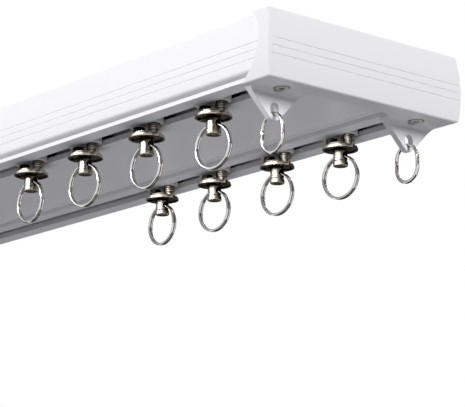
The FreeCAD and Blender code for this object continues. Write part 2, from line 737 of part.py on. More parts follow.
def wheel_pair(shape):
    offset = WHEEL_GAP / 2 + HUB_WIDTH / 2
    return [moved(shape, point(0, side * offset, AXLE_LEVEL)) for side in (-1, 1)]


def make_swivel():
    """A turned post on a stem through the disc, headed above it and cross-drilled for the ring."""
    head_bottom = DISC_TOP + RUNNING_FIT
    collar_top = SWIVEL_BOTTOM + SWIVEL_COLLAR_LENGTH
    solid = turned(
        ORIGIN,
        along(0, head_bottom + SWIVEL_HEAD_THICKNESS),
        along(SWIVEL_HEAD_RADIUS, head_bottom + SWIVEL_HEAD_THICKNESS),
        along(SWIVEL_HEAD_RADIUS, head_bottom),
        along(SWIVEL_STEM_RADIUS, head_bottom),
        along(SWIVEL_STEM_RADIUS, SWIVEL_TOP),
        along(SWIVEL_NECK_RADIUS, SWIVEL_TOP),
        along(SWIVEL_NECK_RADIUS, SWIVEL_BODY_TOP),
        along(SWIVEL_RADIUS, SWIVEL_BODY_TOP),
        along(SWIVEL_RADIUS, collar_top),
        along(SWIVEL_COLLAR_RADIUS, collar_top - SWIVEL_EDGE),
        along(SWIVEL_COLLAR_RADIUS, SWIVEL_BOTTOM + SWIVEL_EDGE),
        along(SWIVEL_COLLAR_RADIUS - SWIVEL_EDGE, SWIVEL_BOTTOM),
        along(0, SWIVEL_BOTTOM),
    )
    start = point(-SWIVEL_COLLAR_RADIUS, 0, SWIVEL_HOLE_LEVEL)
    return solid.cut(Part.makeCylinder(SWIVEL_HOLE_RADIUS, 2 * SWIVEL_COLLAR_RADIUS, start, X_AXIS))


def make_ring():
    """A split ring: two flat turns side by side, and the wire's step from one to the other on top."""
    inner = RING_RADIUS - RING_WIRE
    sag = inner - math.sqrt(inner ** 2 - SWIVEL_RADIUS ** 2)
    centre = along(0, SWIVEL_HOLE_LEVEL + (RING_WIRE + sag) / 2 - RING_RADIUS)
    jog = RING_JOG_ANGLE
    turns = []
    ends = []
    for low, joined_at in ((RING_TURN_GAP / 2, -jog), (-RING_TURN_GAP / 2 - RING_WIRE, 0)):
        corners = [point(inner, low, 0), point(RING_RADIUS, low, 0),
                   point(RING_RADIUS, low + RING_WIRE, 0), point(inner, low + RING_WIRE, 0)]
        section = face(*corners)
        turns.append(section.revolve(ORIGIN, Y_AXIS, 360 - jog))
        section.rotate(ORIGIN, Y_AXIS, joined_at)
        ends.append(section.OuterWire)
    turns.append(Part.makeLoft([ends[0], ends[1]], True))
    solid = turns[0].fuse(turns[1:])
    solid.rotate(ORIGIN, Y_AXIS, jog / 2 - 90)
    return moved(solid, centre)


def set_runner(shape, place, side):
    """Carries a piece drawn at the origin to its place in the front (-1) or back (+1) channel."""
    return moved(shape, point(place, side * SLOT_OFFSET, 0))


# Export


def export(name, shapes):
    shape = shapes[0] if len(shapes) == 1 else Part.makeCompound(shapes)
    shape.exportStep("parts/" + name + ".step")


def export_ends():
    cap = make_cap()
    screws = both_sides(make_cap_screw())
    clamps = both_sides(make_clamp_plate())
    back_link = make_link()
    front_link = mirrored(back_link, Y_AXIS)
    for end in ("near", "far"):
        pieces = {
            end + "_cap": [cap],
            end + "_cap_screws": screws,
            end + "_clamp_plates": clamps,
            end + "_front_link": [front_link],
            end + "_back_link": [back_link],
        }
        for name, shapes in pieces.items():
            if end == "far":
                shapes = [mirrored(shape, X_AXIS) for shape in shapes]
            export(name, shapes)


def export_runners():
    carriage = make_carriage()
    sleeves = make_sleeves()
    tyres = wheel_pair(make_tyre())
    hubs = wheel_pair(make_hub())
    swivel = make_swivel()
    ring = make_ring()
    rows = (
        ("front", -1, FRONT_RUNNER_SETBACKS, FRONT_RING_TURNS),
        ("back", 1, BACK_RUNNER_SETBACKS, BACK_RING_TURNS),
    )
    for row, side, setbacks, turns in rows:
        for number, (setback, turn) in enumerate(zip(setbacks, turns), start=1):
            place = TRACK_END - setback
            pieces = {
                "carriage": [carriage],
                "sleeves": sleeves,
                "tyres": tyres,
                "hubs": hubs,
                "swivel": [turned_by(swivel, turn)],
                "ring": [turned_by(ring, turn)],
            }
            for piece, shapes in pieces.items():
                name = row + "_" + str(number) + "_" + piece
                export(name, [set_runner(shape, place, side) for shape in shapes])


os.makedirs("parts", exist_ok=True)
export("rail", [make_rail()])
export_ends()
export_runners()
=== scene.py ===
# %% [markdown]
# # A double curtain track, dressed and lit
#
# A curtain track is a long rail with slots, and small runners that roll inside it. Here the solids
# arrive finished from CAD, so this lesson does the rest: it gives each piece the surface that the
# real one has, makes the wire and turned pieces finer, and lights the whole as for a catalogue.
# The solids come in first, because every later size is read from them.

import json
import math

import bmesh
import bpy
from mathutils import Matrix, Vector

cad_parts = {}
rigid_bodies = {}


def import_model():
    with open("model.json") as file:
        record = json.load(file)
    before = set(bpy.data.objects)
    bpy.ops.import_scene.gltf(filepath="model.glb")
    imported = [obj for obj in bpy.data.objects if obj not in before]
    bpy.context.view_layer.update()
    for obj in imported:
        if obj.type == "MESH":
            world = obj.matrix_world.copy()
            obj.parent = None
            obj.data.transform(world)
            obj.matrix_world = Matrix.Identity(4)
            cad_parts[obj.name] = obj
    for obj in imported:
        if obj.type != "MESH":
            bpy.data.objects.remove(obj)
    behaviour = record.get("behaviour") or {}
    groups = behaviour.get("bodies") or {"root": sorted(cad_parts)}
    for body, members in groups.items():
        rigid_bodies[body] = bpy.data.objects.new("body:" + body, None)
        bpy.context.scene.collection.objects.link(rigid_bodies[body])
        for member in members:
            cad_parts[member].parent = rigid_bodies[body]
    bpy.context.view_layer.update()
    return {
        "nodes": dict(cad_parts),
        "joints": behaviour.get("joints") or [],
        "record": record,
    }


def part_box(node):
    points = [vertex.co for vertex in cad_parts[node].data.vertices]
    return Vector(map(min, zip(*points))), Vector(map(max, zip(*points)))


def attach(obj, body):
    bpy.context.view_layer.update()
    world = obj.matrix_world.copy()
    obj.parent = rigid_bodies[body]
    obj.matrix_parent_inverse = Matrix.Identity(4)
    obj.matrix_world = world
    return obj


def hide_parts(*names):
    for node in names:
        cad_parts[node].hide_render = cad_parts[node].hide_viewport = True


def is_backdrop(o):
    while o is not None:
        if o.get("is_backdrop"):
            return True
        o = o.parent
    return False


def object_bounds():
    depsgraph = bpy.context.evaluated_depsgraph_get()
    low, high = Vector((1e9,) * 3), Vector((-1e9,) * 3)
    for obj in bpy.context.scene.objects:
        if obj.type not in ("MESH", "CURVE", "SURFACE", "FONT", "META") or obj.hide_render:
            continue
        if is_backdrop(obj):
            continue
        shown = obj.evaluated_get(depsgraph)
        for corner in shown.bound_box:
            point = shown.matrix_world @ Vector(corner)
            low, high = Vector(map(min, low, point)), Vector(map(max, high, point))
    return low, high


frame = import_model()
nodes = frame["nodes"]
print("solids' nodes:", len(nodes))

# %% [markdown]
# ## Names and units
#
# Track makers speak in millimetres and Blender works in metres, so one constant turns the first
# into the second. The runners and links are named by row and number, so that a loop can reach
# each of them instead of a line of code for every one.

# %% Names and units
MM = 0.001
FULL_TURN = 360
X_AXIS = Vector((1, 0, 0))
Y_AXIS = Vector((0, 1, 0))
Z_AXIS = Vector((0, 0, 1))
ROWS = ("front", "back")
ENDS = ("near", "far")
RUNNERS = [f"{row}_{number}" for row in ROWS for number in (1, 2, 3, 4)]
LINKS = [f"{end}_{row}_link" for end in ENDS for row in ROWS]
JOINTS = {joint["name"]: joint for joint in frame["joints"]}
print(len(RUNNERS), "runners and", len(LINKS), "links")

# %% [markdown]
# ## Colours
#
# Colours are written as on a paint chart, in sRGB hex. A shader works in linear light, so one
# function undoes the sRGB curve. Without it every mid tone would come out too pale.


# %% From a hex colour to linear light
def linear(hex_colour):
    channels = []
    for start in (1, 3, 5):
        value = int(hex_colour[start:start + 2], 16) / 255
        channels.append(value / 12.92 if value <= 0.04045 else ((value + 0.055) / 1.055) ** 2.4)
    return (*channels, 1.0)


print("mid grey in linear light:", round(linear("#808080")[0], 3))

# %% [markdown]
# ## A helper for material nodes
#
# A material is a small network of nodes. It could be wired by hand in the shader editor, but in
# code one helper that adds a node, sets its inputs and links it keeps each material short enough
# to read in one look.


# %% Adding a node
def new_material(name):
    material = bpy.data.materials.new(name)
    material.use_nodes = True
    tree = material.node_tree
    return material, tree, tree.nodes["Principled BSDF"]


def feed(tree, node, inputs):
    for key, value in inputs.items():
        if isinstance(value, bpy.types.NodeSocket):
            tree.links.new(value, node.inputs[key])
        else:
            node.inputs[key].default_value = value


def add(tree, kind, inputs=None, **settings):
    node = tree.nodes.new(kind)
    for key, value in settings.items():
        setattr(node, key, value)
    feed(tree, node, inputs or {})
    return node


# %% [markdown]
# ## Powder coat on aluminium
#
# The rail is an aluminium extrusion, sprayed with white polyester powder and baked. The molten
# powder settles into a satin skin with a faint orange peel, a waviness some 2.5 mm across that
# shows only where light grazes the long sides. A dielectric with an IOR of 1.5 and a middling
# roughness gives the satin, and a very low noise bump gives the peel. Displacing the mesh would
# cost many faces for a height of hundredths of a millimetre.

# %% Powder coat
ORANGE_PEEL = 2.5 * MM
PEEL_HEIGHT = 0.02 * MM


def powder_coat():
    material, tree, surface = new_material("powder_coated_aluminium")
    place = add(tree, "ShaderNodeTexCoord")
    peel = add(tree, "ShaderNodeTexNoise", {
        "Vector": place.outputs["Object"], "Scale": 1 / ORANGE_PEEL, "Detail": 2.0})
    satin = add(tree, "ShaderNodeMapRange", {
        "Value": peel.outputs["Fac"], "To Min": 0.34, "To Max": 0.42})
    skin = add(tree, "ShaderNodeBump", {
        "Height": peel.outputs["Fac"], "Strength": 0.12, "Distance": PEEL_HEIGHT})
    feed(tree, surface, {
        "Base Color": linear("#F4F4F6"), "IOR": 1.5,
        "Roughness": satin.outputs["Result"], "Normal": skin.outputs["Normal"]})
    return material


# %% [markdown]
# ## Moulded ABS
#
# The end caps are injection-moulded ABS, a shade glossier than the powder coat beside them. The
# steel mould was polished, so there is no grain, only a slow unevenness some 9 mm across where
# the plastic shrank as it cooled. It bends the highlights a little and tells the eye that this is
# plastic and not paint.

# %% Moulded ABS
SHRINK_MARK = 9 * MM
SHRINK_DEPTH = 0.05 * MM


def moulded_abs():
    material, tree, surface = new_material("moulded_abs")
    place = add(tree, "ShaderNodeTexCoord")
    shrink = add(tree, "ShaderNodeTexNoise", {
        "Vector": place.outputs["Object"], "Scale": 1 / SHRINK_MARK, "Detail": 3.0})
    gloss = add(tree, "ShaderNodeMapRange", {
        "Value": shrink.outputs["Fac"], "To Min": 0.27, "To Max": 0.36})
    sink = add(tree, "ShaderNodeBump", {
        "Height": shrink.outputs["Fac"], "Strength": 0.1, "Distance": SHRINK_DEPTH})
    feed(tree, surface, {
        "Base Color": linear("#ECECEF"), "IOR": 1.53,
        "Roughness": gloss.outputs["Result"], "Normal": sink.outputs["Normal"]})
    return material


# %% [markdown]
# ## Plated metal
#
# The carriages and swivels are zinc castings under nickel and a chrome so thin that the nickel
# warms its tone. The wire pieces are steel under bright nickel. Plating copies every mark beneath
# it, so its mirror is never perfect: a soft waviness bends the reflections, and handling leaves
# some spots duller. The inner corners are painted almost black as shade: an Ambient Occlusion
# node finds them by itself, as far out as each piece's own reach, and darkens the base colour
# there. One recipe serves all the metals here, with each one's own colour, polish and
# mark size. A Mix node has one set of sockets for numbers and another for colours, under the same
# names, so the colours' sockets are picked by their place in the row.

# %% Plated metal
# Painted shade: the near-black colour put into inner corners, and the AO levels where it is full and
# where it ends.
PAINTED_CORNER_SHADE = "#1C1A18"
FULL_SHADE_BELOW = 0.45
NO_SHADE_ABOVE = 0.9
HANDLING_SPOT = 0.8 * MM
COLOUR_A, COLOUR_B, COLOUR_RESULT = 6, 7, 2


def plated_metal(name, colour, bright, dull, mark_size, mark_depth, shade_reach):
    material, tree, surface = new_material(name)
    place = add(tree, "ShaderNodeTexCoord")
    wave = add(tree, "ShaderNodeTexNoise", {
        "Vector": place.outputs["Object"], "Scale": 1 / mark_size, "Detail": 2.0})
    handling = add(tree, "ShaderNodeTexNoise", {
        "Vector": place.outputs["Object"], "Scale": 1 / HANDLING_SPOT, "Detail": 4.0})
    polish = add(tree, "ShaderNodeMapRange", {
        "Value": handling.outputs["Fac"], "From Min": 0.35, "From Max": 0.65,
        "To Min": bright, "To Max": dull})
    marks = add(tree, "ShaderNodeBump", {
        "Height": wave.outputs["Fac"], "Strength": 0.35, "Distance": mark_depth})
    # Ambient Occlusion finds the inner corners, where the base colour is darkened as painted shade.
    openness = add(tree, "ShaderNodeAmbientOcclusion", {"Distance": shade_reach}, samples=16)
    unshaded = add(tree, "ShaderNodeMapRange", {
        "Value": openness.outputs["AO"], "From Min": FULL_SHADE_BELOW, "From Max": NO_SHADE_ABOVE})
    tone = add(tree, "ShaderNodeMix", {
        "Factor": unshaded.outputs["Result"],
        COLOUR_A: linear(PAINTED_CORNER_SHADE), COLOUR_B: linear(colour)}, data_type="RGBA")
    feed(tree, surface, {
        "Base Color": tone.outputs[COLOUR_RESULT], "Metallic": 1.0,
        "Roughness": polish.outputs["Result"], "Normal": marks.outputs["Normal"]})
    return material


# %% [markdown]
# ## Nylon
#
# The sleeves that guide each runner in its slot are natural nylon, unpainted, because bare nylon
# slides well on powder coat. It is a milky white and lets a little light in under its skin, which
# subsurface scattering over about half a millimetre gives.

# %% Natural nylon
NYLON_CLOUD = 3 * MM
NYLON_LIGHT_DEPTH = 0.6 * MM


def natural_nylon():
    material, tree, surface = new_material("natural_nylon")
    place = add(tree, "ShaderNodeTexCoord")
    cloud = add(tree, "ShaderNodeTexNoise", {
        "Vector": place.outputs["Object"], "Scale": 1 / NYLON_CLOUD, "Detail": 2.0})
    sheen = add(tree, "ShaderNodeMapRange", {
        "Value": cloud.outputs["Fac"], "To Min": 0.4, "To Max": 0.52})
    feed(tree, surface, {
        "Base Color": linear("#E9E8E2"), "IOR": 1.53, "Roughness": sheen.outputs["Result"],
        "Subsurface Weight": 0.15, "Subsurface Scale": NYLON_LIGHT_DEPTH})
    return material


# %% [markdown]
# ## Polyurethane
#
# The tyres are polyurethane moulded straight onto the bearings, dark blue all through. The mould
# was spark-eroded, which leaves a satin skin with a grit of about 0.6 mm as drawn here. The real
# grit is finer, but it would vanish in the render.

# %% Moulded polyurethane
TYRE_GRIT = 0.6 * MM
GRIT_DEPTH = 0.02 * MM


def moulded_polyurethane():
    material, tree, surface = new_material("moulded_polyurethane")
    place = add(tree, "ShaderNodeTexCoord")
    grit = add(tree, "ShaderNodeTexNoise", {
        "Vector": place.outputs["Object"], "Scale": 1 / TYRE_GRIT, "Detail": 3.0})
    satin = add(tree, "ShaderNodeMapRange", {
        "Value": grit.outputs["Fac"], "To Min": 0.36, "To Max": 0.5})
    skin = add(tree, "ShaderNodeBump", {
        "Height": grit.outputs["Fac"], "Strength": 0.2, "Distance": GRIT_DEPTH})
    feed(tree, surface, {
        "Base Color": linear("#1E2552"), "IOR": 1.5,
        "Roughness": satin.outputs["Result"], "Normal": skin.outputs["Normal"]})
    return material


# %% [markdown]
# ## Dressing the solids
#
# The imported record says which finish each node has. Reading it there, instead of naming nodes one
# by one, means that no piece is forgotten when the model gains one.

# %% Dress the solids
# Each metal's last number is how far out from its inner corners shade is painted into its colour.
FINISHES = {
    "white_enamel": powder_coat(),
    "white_plastic": moulded_abs(),
    "screw_steel": plated_metal(
        "nickel_plated_screw_steel", "#E4E1DB", bright=0.28, dull=0.4,
        mark_size=1.5 * MM, mark_depth=0.01 * MM, shade_reach=2 * MM),
    "zinc_steel": plated_metal(
        "zinc_plated_steel", "#B4B8BC", bright=0.3, dull=0.45,
        mark_size=2 * MM, mark_depth=0.03 * MM, shade_reach=2 * MM),
    "link_wire": plated_metal(
        "nickel_plated_wire", "#DEDCD8", bright=0.08, dull=0.14,
        mark_size=4 * MM, mark_depth=0.004 * MM, shade_reach=1 * MM),
    "chromed_zinc": plated_metal(
        "bright_chrome_on_zinc", "#CCC1B3", bright=0.18, dull=0.28,
        mark_size=2.5 * MM, mark_depth=0.008 * MM, shade_reach=9 * MM),
    "nylon": natural_nylon(),
    "blue_tyre": moulded_polyurethane(),
    "bearing_steel": plated_metal(
        "ground_bearing_steel", "#C6C7C8", bright=0.2, dull=0.3,
        mark_size=1 * MM, mark_depth=0.01 * MM, shade_reach=2 * MM),
    "ring_steel": plated_metal(
        "nickel_plated_spring_steel", "#E8E6E2", bright=0.1, dull=0.16,
        mark_size=4 * MM, mark_depth=0.004 * MM, shade_reach=1 * MM),
}
SLOTS = {part["node"]: part["material_slot"] for part in frame["record"]["subparts"]}
for node, slot in SLOTS.items():
    nodes[node].data.materials.clear()
    nodes[node].data.materials.append(FINISHES[slot])
print("finishes:", len(FINISHES), "on", len(SLOTS), "nodes")

# %% [markdown]
# ## Eased edges
#
# No moulded, cast or turned edge is perfectly sharp, and it is the thin line of light along an
# eased edge that makes a piece look solid. The rail and the caps came with theirs, so only the
# small pieces are eased here. Each CAD face comes with its own vertices, so a Weld modifier joins
# them first, and a Bevel modifier then rounds what is still sharp. Modifiers leave the solids
# themselves as they came. The swivels are drawn anew further on.

# %% Ease the edges of the small pieces
JOINED_WITHIN = 0.002 * MM
EASE_STEPS = 3
EASED_ABOVE = math.radians(35)
EASED = {"chromed_zinc": 0.18 * MM, "blue_tyre": 0.25 * MM, "nylon": 0.2 * MM,
         "bearing_steel": 0.1 * MM, "zinc_steel": 0.2 * MM}


def ease_edges(node, width):
    weld = nodes[node].modifiers.new("join_faces", "WELD")
    weld.merge_threshold = JOINED_WITHIN
    bevel = nodes[node].modifiers.new("eased_edges", "BEVEL")
    bevel.width = width
    bevel.segments = EASE_STEPS
    bevel.limit_method = "ANGLE"
    bevel.angle_limit = EASED_ABOVE
    bevel.harden_normals = True


for node, slot in SLOTS.items():
    if slot in EASED and not node.endswith("swivel"):
        ease_edges(node, EASED[slot])
print("eased nodes:", sum(bool(item.modifiers) for item in nodes.values()))

# %% [markdown]
# ## A skin over a row of loops
#
# Wire, turned posts and screws all have the same kind of surface: a closed loop of points, moved
# on and changed a little at each step, with a skin between one loop and the next. A curve with a
# bevel could do it too, but it can't flatten the wire or step sideways. So one function takes
# the loops, in millimetres, and returns a closed mesh. It shades smoothly wherever two faces meet
# at less than 40 degrees.

# %% Skin a row of loops
SMOOTH_BELOW = math.radians(40)


def skinned(name, loops):
    build = bmesh.new()
    rows = [[build.verts.new(place * MM) for place in loop] for loop in loops]
    for here, there in zip(rows, rows[1:]):
        for index, corner in enumerate(here):
            build.faces.new((corner, here[index - 1], there[index - 1], there[index]))
    build.faces.new(rows[0])
    build.faces.new(rows[-1])
    bmesh.ops.recalc_face_normals(build, faces=build.faces)
    mesh = bpy.data.meshes.new(name)
    build.to_mesh(mesh)
    build.free()
    mesh.shade_smooth()
    mesh.set_sharp_from_angle(angle=SMOOTH_BELOW)
    return mesh


# %% [markdown]
# ## Bent wire
#
# A ring or a link is a length of wire with a section, a path and two cut ends. The section is a
# square with round corners. Where the corners are as large as they can be it is the circle of
# drawn wire, and a little less leaves narrow flats, on which the two turns of a split ring meet.
# Even the circle's corners stop a thousandth of a millimetre short, so that no two points of the
# section fall together. The path gives each place with its outward direction. Cut ends are tumbled
# until they no longer scratch, so the last loops shrink a little.

# %% Wire sections and ends
CORNER_STEPS = 4
TUMBLED_SHARE = 0.75


def wire_section(half, corner):
    loop = []
    for side_x, side_y, start in ((1, 1, 0), (-1, 1, 90), (-1, -1, 180), (1, -1, 270)):
        for step in range(CORNER_STEPS + 1):
            angle = math.radians(start + 90 * step / CORNER_STEPS)
            loop.append((side_x * (half - corner) + corner * math.cos(angle),
                         side_y * (half - corner) + corner * math.sin(angle)))
    return loop


def bent_wire(name, path, section, end_round):
    loops = []
    last = len(path) - 1
    for place, outward in path:
        loops.append([place + outward * out + Y_AXIS * across for out, across in section])
    for end, inside in ((0, 1), (last, last - 1)):
        away = (path[end][0] - path[inside][0]).normalized()
        place, outward = path[end]
        tip = [place + away * end_round + (outward * out + Y_AXIS * across) * TUMBLED_SHARE
               for out, across in section]
        loops.insert(0 if end == 0 else len(loops), tip)
    return skinned(name, loops)


print("points in a wire's section:", len(wire_section(0.5, 0.2)))

# %% [markdown]
# ## Placing a finer piece
#
# Each finer piece is drawn once at the origin and placed where its solid is, so that all eight
# rings share one mesh.


# %% Place a piece over its solid
def place_piece(node, body, mesh, matrix):
    piece = bpy.data.objects.new(node + "_fine", mesh)
    bpy.context.scene.collection.objects.link(piece)
    piece.matrix_world = matrix
    if not mesh.materials:
        mesh.materials.append(FINISHES[SLOTS[node]])
    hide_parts(node)
    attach(piece, body)


def middle_of(node):
    low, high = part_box(node)
    return (low + high) / 2


def foot_of(node):
    middle = middle_of(node)
    return Vector((middle.x, middle.y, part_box(node)[0].z))


def size_of(node):
    low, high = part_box(node)
    return (high - low) / MM


# %% [markdown]
# ## Split rings
#
# A curtain hangs from a split ring: spring wire coiled twice, so that a hook can be worked in
# between the turns. Two tori side by side would look right from afar, but would lack the step
# where the wire crosses from one turn to the other and the two cut ends beside it. So the path
# here is a true coil that stays flat and steps across within a short angle. The step and both
# ends are at the top, inside the swivel.

# %% Draw the split ring
RING_WIRE = 1.1
RING_WIRE_CORNER = 0.52
RING_TURN_PITCH = 1.14
RING_TURNS = 2
RING_STEP_ANGLE = 24.0
RING_END_ANGLE = 12.0
RING_END_ROUND = 0.12
RING_POINTS = 300


def smooth_step(value):
    value = min(max(value, 0.0), 1.0)
    return value * value * (3 - 2 * value)


def split_ring(radius):
    path = []
    sweep = FULL_TURN * RING_TURNS - 2 * RING_END_ANGLE
    for index in range(RING_POINTS + 1):
        angle = RING_END_ANGLE + sweep * index / RING_POINTS
        across = 0.5 - smooth_step((angle - FULL_TURN + RING_STEP_ANGLE / 2) / RING_STEP_ANGLE)
        outward = Matrix.Rotation(math.radians(angle), 3, "Y") @ Z_AXIS
        path.append((outward * radius + Y_AXIS * across * RING_TURN_PITCH, outward))
    section = wire_section(RING_WIRE / 2, RING_WIRE_CORNER)
    return bent_wire("split_ring", path, section, RING_END_ROUND)


ring_mesh = split_ring(size_of("front_1_ring").z / 2 - RING_WIRE / 2)
print("faces in one split ring:", len(ring_mesh.polygons))

# %% [markdown]
# ## Hanging the rings
#
# Every runner has swung round by a few degrees. The hinge of each ring lies along its own axis,
# and that axis is in the joints that came with the solids, so the turn is read from there. The
# swivel above the ring has turned by the same angle.


# %% Hang the rings
def turn_of(runner):
    axis = JOINTS[runner + "_ring_swing"]["axis"]
    return Matrix.Rotation(math.atan2(axis[1], axis[0]), 4, "Z")


for runner in RUNNERS:
    node = runner + "_ring"
    place_piece(node, node, ring_mesh, Matrix.Translation(middle_of(node)) @ turn_of(runner))
print("rings hung:", len(RUNNERS))

# %% [markdown]
# ## Open links
#
# The links on the caps tie off the last curtain hook. Each is round nickel-plated wire bent to an
# oval, closed by hand so that its ends almost meet. The ends never line up quite, and that small
# miss is what shows it to be bent wire and not a casting.

# %% Draw the open link
LINK_WIRE = 1.5
LINK_WIRE_CORNER = 0.749
LINK_END_ROUND = 0.2
LINK_GAP = 0.5
LINK_MISS = 0.22
LINK_ARC_STEPS = 24
LINK_SIDE_STEPS = 6


def open_link(width, height):
    bend = (width - LINK_WIRE) / 2
    rise = (height - width) / 2
    path = []
    for step in range(LINK_SIDE_STEPS):
        share = step / LINK_SIDE_STEPS
        miss = X_AXIS * LINK_MISS * (1 - share) ** 2
        level = LINK_GAP / 2 + (rise - LINK_GAP / 2) * share
        path.append((Vector((-bend, 0, level)) + miss, -X_AXIS))
    for centre, start in ((rise, 180), (-rise, 0)):
        for step in range(LINK_ARC_STEPS + 1):
            turn = math.radians(start - 180 * step / LINK_ARC_STEPS)
            outward = Vector((math.cos(turn), 0, math.sin(turn)))
            path.append((Vector((0, 0, centre)) + outward * bend, outward))
    for step in range(1, LINK_SIDE_STEPS + 1):
        share = step / LINK_SIDE_STEPS
        level = -rise + (rise - LINK_GAP / 2) * share
        path.append((Vector((-bend, 0, level)), -X_AXIS))
    section = wire_section(LINK_WIRE / 2, LINK_WIRE_CORNER)
    return bent_wire("open_link", path, section, LINK_END_ROUND)


link_size = size_of("near_front_link")
link_mesh = open_link(link_size.x, link_size.z)
for node in LINKS:
    facing = Matrix.Rotation(math.pi if node.startswith("far") else 0.0, 4, "Z")
    place_piece(node, node, link_mesh, Matrix.Translation(middle_of(node)) @ facing)
print("faces in one link:", len(link_mesh.polygons))

# %% [markdown]
# ## Turned pieces
#
# A lathe makes a round piece from one outline. The outline here is a list of radius and height,
# and all its corners but the first and the last are rounded off with short curves, as a turned
# edge is broken before plating. Rounding the outline once is cheaper than a bevel on the finished
# mesh, and it never leaves stray triangles.

# %% Turn an outline
TURNED_SIDES = 64
CURVE_STEPS = 4


def eased(outline, ease):
    outline = [Vector(corner) for corner in outline]
    points = [outline[0]]
    for before, corner, after in zip(outline, outline[1:], outline[2:]):
        reach = min(ease, (before - corner).length / 2, (after - corner).length / 2)
        start = corner + (before - corner).normalized() * reach
        end = corner + (after - corner).normalized() * reach
        for step in range(CURVE_STEPS + 1):
            share = step / CURVE_STEPS
            points.append(start.lerp(corner, share).lerp(corner.lerp(end, share), share))
    points.append(outline[-1])
    return points


def angles_round(sides):
    return [2 * math.pi * side / sides for side in range(sides)]


def turned(name, outline):
    loops = []
    for radius, level in outline:
        loops.append([Vector((radius * math.cos(angle), radius * math.sin(angle), level))
                      for angle in angles_round(TURNED_SIDES)])
    return skinned(name, loops)


# %% [markdown]
# ## Cutting one mesh with another
#
# A drilled hole or a pressed recess is easiest as a Boolean: one mesh takes a bite out of the
# other, and a narrow bevel breaks the new edge. The result is kept as a plain mesh and the
# tools are thrown away, so nothing hidden stays in the scene.

# %% Cut and break the edges
BROKEN_ABOVE = math.radians(50)
BREAK_STEPS = 2


def cut(mesh, cutters, edge_break):
    scraps = []
    for shape in (mesh, *cutters):
        scrap = bpy.data.objects.new("scrap", shape)
        bpy.context.scene.collection.objects.link(scrap)
        scraps.append(scrap)
    for cutter in scraps[1:]:
        bite = scraps[0].modifiers.new("bite", "BOOLEAN")
        bite.operation = "DIFFERENCE"
        bite.solver = "EXACT"
        bite.object = cutter
    bevel = scraps[0].modifiers.new("edge_break", "BEVEL")
    bevel.width = edge_break * MM
    bevel.segments = BREAK_STEPS
    bevel.limit_method = "ANGLE"
    bevel.angle_limit = BROKEN_ABOVE
    graph = bpy.context.evaluated_depsgraph_get()
    result = bpy.data.meshes.new_from_object(scraps[0].evaluated_get(graph))
    for scrap in scraps:
        bpy.data.objects.remove(scrap)
    result.shade_smooth()
    result.set_sharp_from_angle(angle=SMOOTH_BELOW)
    return result


# %% [markdown]
# ## Swivels
#
# The swivel is a turned post that spins in the disc, so that the curtain never twists the runner.
# A collar closes its lower end, and its thin stem goes up through the disc to a head that keeps it
# there. The ring passes through a hole drilled across it. The heights count from the swivel's
# lower end.

# %% Turn and drill the swivel
CENTRE_RADIUS = 0.4
COLLAR_RADIUS = 3.3
COLLAR_EDGE = 0.3
COLLAR_SHOULDER = 2.0
COLLAR_TOP = 2.3
BODY_RADIUS = 3.1
BODY_TOP = 6.9
NECK_RADIUS = 2.3
NECK_TOP = 7.8
STEM_RADIUS = 1.6
STEM_TOP = 9.5
SWIVEL_TOP = 10.6
SWIVEL_OUTLINE = (
    (CENTRE_RADIUS, 0.0), (COLLAR_RADIUS - COLLAR_EDGE, 0.0), (COLLAR_RADIUS, COLLAR_EDGE),
    (COLLAR_RADIUS, COLLAR_SHOULDER), (BODY_RADIUS, COLLAR_TOP), (BODY_RADIUS, BODY_TOP),
    (NECK_RADIUS, BODY_TOP), (NECK_RADIUS, NECK_TOP),
    (STEM_RADIUS, NECK_TOP), (STEM_RADIUS, STEM_TOP),
    (NECK_RADIUS, STEM_TOP), (NECK_RADIUS, SWIVEL_TOP), (CENTRE_RADIUS, SWIVEL_TOP),
)
SWIVEL_CORNER = 0.22
SWIVEL_HOLE_RADIUS = 1.75
SWIVEL_HOLE_HEIGHT = 4.45
SWIVEL_HOLE_REACH = 6.0
SWIVEL_HOLE_SIDES = 48
SWIVEL_HOLE_EDGE = 0.1


def cross_drill():
    loops = []
    for reach in (-SWIVEL_HOLE_REACH, SWIVEL_HOLE_REACH):
        loops.append([Vector((reach, SWIVEL_HOLE_RADIUS * math.cos(angle),
                              SWIVEL_HOLE_HEIGHT + SWIVEL_HOLE_RADIUS * math.sin(angle)))
                      for angle in angles_round(SWIVEL_HOLE_SIDES)])
    return skinned("cross_drill", loops)


swivel_post = turned("swivel", eased(SWIVEL_OUTLINE, SWIVEL_CORNER))
swivel_mesh = cut(swivel_post, [cross_drill()], SWIVEL_HOLE_EDGE)
for runner in RUNNERS:
    node = runner + "_swivel"
    place_piece(node, node, swivel_mesh, Matrix.Translation(foot_of(node)) @ turn_of(runner))
print("faces in one swivel:", len(swivel_mesh.polygons))

# %% [markdown]
# ## Cap screws
#
# Two pan-head screws draw each cap onto the rail. A tapered punch presses the cross recess of
# each, so its four wings narrow and slope as they go in. The wings are cut one pair after the
# other. The thread is a true helix, made by letting the radius rise and fall with height and
# angle together. All numbers are millimetres, and heights count up from the head's face.

